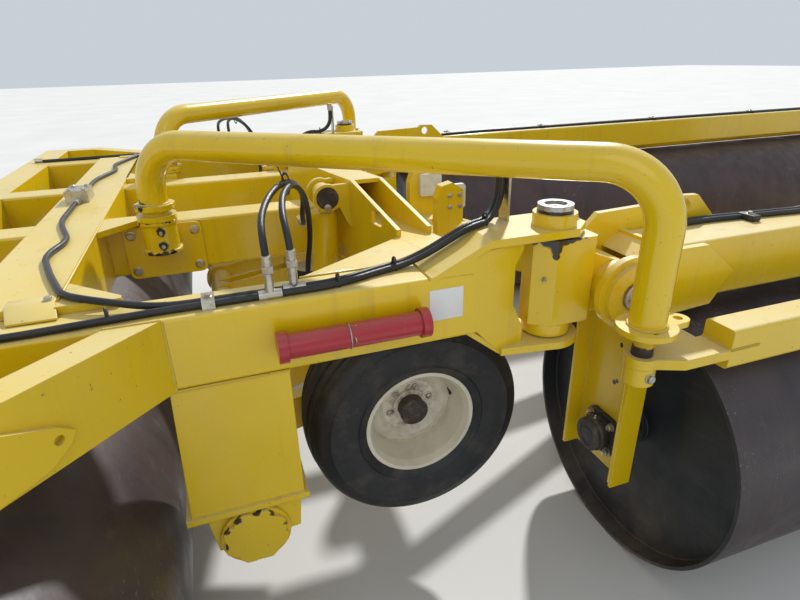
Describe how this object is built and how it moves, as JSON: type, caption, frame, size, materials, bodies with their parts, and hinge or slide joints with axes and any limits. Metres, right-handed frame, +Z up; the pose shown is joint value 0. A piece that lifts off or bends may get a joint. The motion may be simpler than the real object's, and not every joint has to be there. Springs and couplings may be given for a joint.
{
  "type": "folded land roller",
  "caption": "Towed land roller with its side sections folded forward, steel drums, a tubular yellow frame, lifting wheels and arched transport braces.",
  "frame": {"origin": "on the ground under the middle of the outline", "axes": "+X towards the hitch, +Y to the left side, +Z up"},
  "size_m": [9.1432, 3.97, 1.6707],
  "materials": {
    "frame_paint": "gloss yellow enamel, dusty",
    "drum_steel": "worn black paint with rust and dried soil",
    "rim_paint": "cream enamel",
    "tyre_rubber": "matt, dusty",
    "stop_paint": "red enamel",
    "pin_steel": "bare, lightly rusted",
    "bearing_iron": "painted black",
    "pad_plastic": "matt white",
    "hose_rubber": "matt, dusty",
    "fitting_zinc": "zinc, dulled",
    "rod_chrome": "polished"
  },
  "bodies": {
    "centre_frame": {"swept_cross_member": "frame_paint", "over_drum_beam": "frame_paint", "rear_cross_tube": "frame_paint", "side_rails": "frame_paint", "rail_gussets": "frame_paint", "inner_beams": "frame_paint", "drum_end_arms": "frame_paint", "drum_end_hangers": "frame_paint", "centre_drum_bearings": "bearing_iron", "axle_legs": "frame_paint", "axle_leg_caps": "frame_paint", "brace_sleeves": "frame_paint", "cylinder_stops": "stop_paint", "lift_cylinder_lugs": "frame_paint", "fold_pins": "frame_paint", "tongue_lugs": "frame_paint", "frame_hoses": "hose_rubber", "hose_fittings": "fitting_zinc", "lift_hose_upper_right": "hose_rubber", "lift_hose_upper_left": "hose_rubber", "lift_hose_lower_right": "hose_rubber", "lift_hose_lower_left": "hose_rubber"},
    "centre_drum": {"centre_drum": "drum_steel"},
    "transport_axle": {"cross_shaft": "frame_paint"},
    "tongue": {"tongue_beam": "frame_paint", "wear_pads": "pad_plastic", "hitch_clevis": "frame_paint"},
    "jack": {"parking_jack": "frame_paint"},
    "wing_hinge_right": {"hinge_block_right": "frame_paint"},
    "wing_right": {"wing_tube_right": "frame_paint", "wing_root_frame_right": "frame_paint", "wing_end_frame_right": "frame_paint", "wing_bearings_right": "bearing_iron", "wing_pins_right": "pin_steel", "wing_side_tube_right": "frame_paint", "wing_struts_right": "frame_paint", "wing_hoses_right": "hose_rubber", "wing_couplers_right": "fitting_zinc"},
    "wing_drum_right": {"wing_drum_right": "drum_steel"},
    "brace_right": {"brace_pipe_right": "frame_paint"},
    "wheel_right": {"wheel_rim_right": "rim_paint", "wheel_tyre_right": "tyre_rubber"},
    "lift_barrel_right": {"lift_barrel_right": "frame_paint"},
    "lift_rod_right": {"lift_rod_right": "rod_chrome"},
    "wing_hinge_left": {"hinge_block_left": "frame_paint"},
    "wing_left": {"wing_tube_left": "frame_paint", "wing_root_frame_left": "frame_paint", "wing_end_frame_left": "frame_paint", "wing_bearings_left": "bearing_iron", "wing_pins_left": "pin_steel", "wing_side_tube_left": "frame_paint", "wing_struts_left": "frame_paint", "wing_hoses_left": "hose_rubber", "wing_couplers_left": "fitting_zinc"},
    "wing_drum_left": {"wing_drum_left": "drum_steel"},
    "brace_left": {"brace_pipe_left": "frame_paint"},
    "wheel_left": {"wheel_rim_left": "rim_paint", "wheel_tyre_left": "tyre_rubber"},
    "lift_barrel_left": {"lift_barrel_left": "frame_paint"},
    "lift_rod_left": {"lift_rod_left": "rod_chrome"}
  },
  "joints": [
    {"name": "centre_drum_spin", "type": "hinge", "parent": "centre_frame", "child": "centre_drum", "pos_m": [-4.0383, 0, 0.5334], "axis": [0, 1, 0], "continuous": true},
    {"name": "axle_lift", "type": "hinge", "parent": "centre_frame", "child": "transport_axle", "pos_m": [-3.3073, 0, 0.565], "axis": [0, 1, 0], "range_deg": [0, 49]},
    {"name": "tongue_pitch", "type": "hinge", "parent": "centre_frame", "child": "tongue", "pos_m": [-2.6983, 0, 0.985], "axis": [0, 1, 0], "range_deg": [-8, 5]},
    {"name": "jack_swivel", "type": "hinge", "parent": "tongue", "child": "jack", "pos_m": [3.3117, -0.14, 0.56], "axis": [0, 1, 0], "range_deg": [0, 90]},
    {"name": "wing_fold_right", "type": "hinge", "parent": "centre_frame", "child": "wing_hinge_right", "pos_m": [-2.2953, -1.324, 1.194], "axis": [0, 0, -1], "range_deg": [0, 88]},
    {"name": "wing_float_right", "type": "hinge", "parent": "wing_hinge_right", "child": "wing_right", "pos_m": [-2.0983, -1.324, 1.194], "axis": [0, 1, 0], "range_deg": [-4, 4]},
    {"name": "wing_drum_spin_right", "type": "hinge", "parent": "wing_right", "child": "wing_drum_right", "pos_m": [-1.9043, -1.326, 0.5334], "axis": [1, 0, 0], "continuous": true},
    {"name": "brace_swing_right", "type": "hinge", "parent": "centre_frame", "child": "brace_right", "pos_m": [-3.4823, -0.545, 1.35], "axis": [0, 0, -1], "range_deg": [0, 44]},
    {"name": "wheel_spin_right", "type": "hinge", "parent": "transport_axle", "child": "wheel_right", "pos_m": [-2.6993, -1.095, 0.688], "axis": [0, 1, 0], "continuous": true},
    {"name": "lift_barrel_swing_right", "type": "hinge", "parent": "centre_frame", "child": "lift_barrel_right", "pos_m": [-2.8603, -0.58, 1.388], "axis": [0, 1, 0], "range_deg": [0, 2.7]},
    {"name": "lift_rod_slide_right", "type": "slide", "parent": "lift_barrel_right", "child": "lift_rod_right", "axis": [-0.0536, 0, -0.9986], "range_m": [0, 0.3475]},
    {"name": "wing_fold_left", "type": "hinge", "parent": "centre_frame", "child": "wing_hinge_left", "pos_m": [-2.2953, 1.324, 1.194], "axis": [0, 0, 1], "range_deg": [0, 88]},
    {"name": "wing_float_left", "type": "hinge", "parent": "wing_hinge_left", "child": "wing_left", "pos_m": [-2.0983, 1.324, 1.194], "axis": [0, 1, 0], "range_deg": [-4, 4]},
    {"name": "wing_drum_spin_left", "type": "hinge", "parent": "wing_left", "child": "wing_drum_left", "pos_m": [-1.9043, 1.326, 0.5334], "axis": [1, 0, 0], "continuous": true},
    {"name": "brace_swing_left", "type": "hinge", "parent": "centre_frame", "child": "brace_left", "pos_m": [-3.4823, 0.545, 1.35], "axis": [0, 0, 1], "range_deg": [0, 44]},
    {"name": "wheel_spin_left", "type": "hinge", "parent": "transport_axle", "child": "wheel_left", "pos_m": [-2.6993, 1.095, 0.688], "axis": [0, 1, 0], "continuous": true},
    {"name": "lift_barrel_swing_left", "type": "hinge", "parent": "centre_frame", "child": "lift_barrel_left", "pos_m": [-2.8603, 0.58, 1.388], "axis": [0, 1, 0], "range_deg": [0, 2.7]},
    {"name": "lift_rod_slide_left", "type": "slide", "parent": "lift_barrel_left", "child": "lift_rod_left", "axis": [-0.0536, 0, -0.9986], "range_m": [0, 0.3475]}
  ],
  "couplings": [
    {"joint": "brace_swing_right", "follows": "wing_fold_right", "ratio": 0.5},
    {"joint": "brace_swing_left", "follows": "wing_fold_left", "ratio": 0.5},
    {"joint": "lift_barrel_swing_right", "follows": "axle_lift", "ratio": 0.05313},
    {"joint": "lift_rod_slide_right", "follows": "axle_lift", "m_per_rad": 0.40399},
    {"joint": "lift_barrel_swing_left", "follows": "axle_lift", "ratio": 0.05313},
    {"joint": "lift_rod_slide_left", "follows": "axle_lift", "m_per_rad": 0.40399}
  ]
}
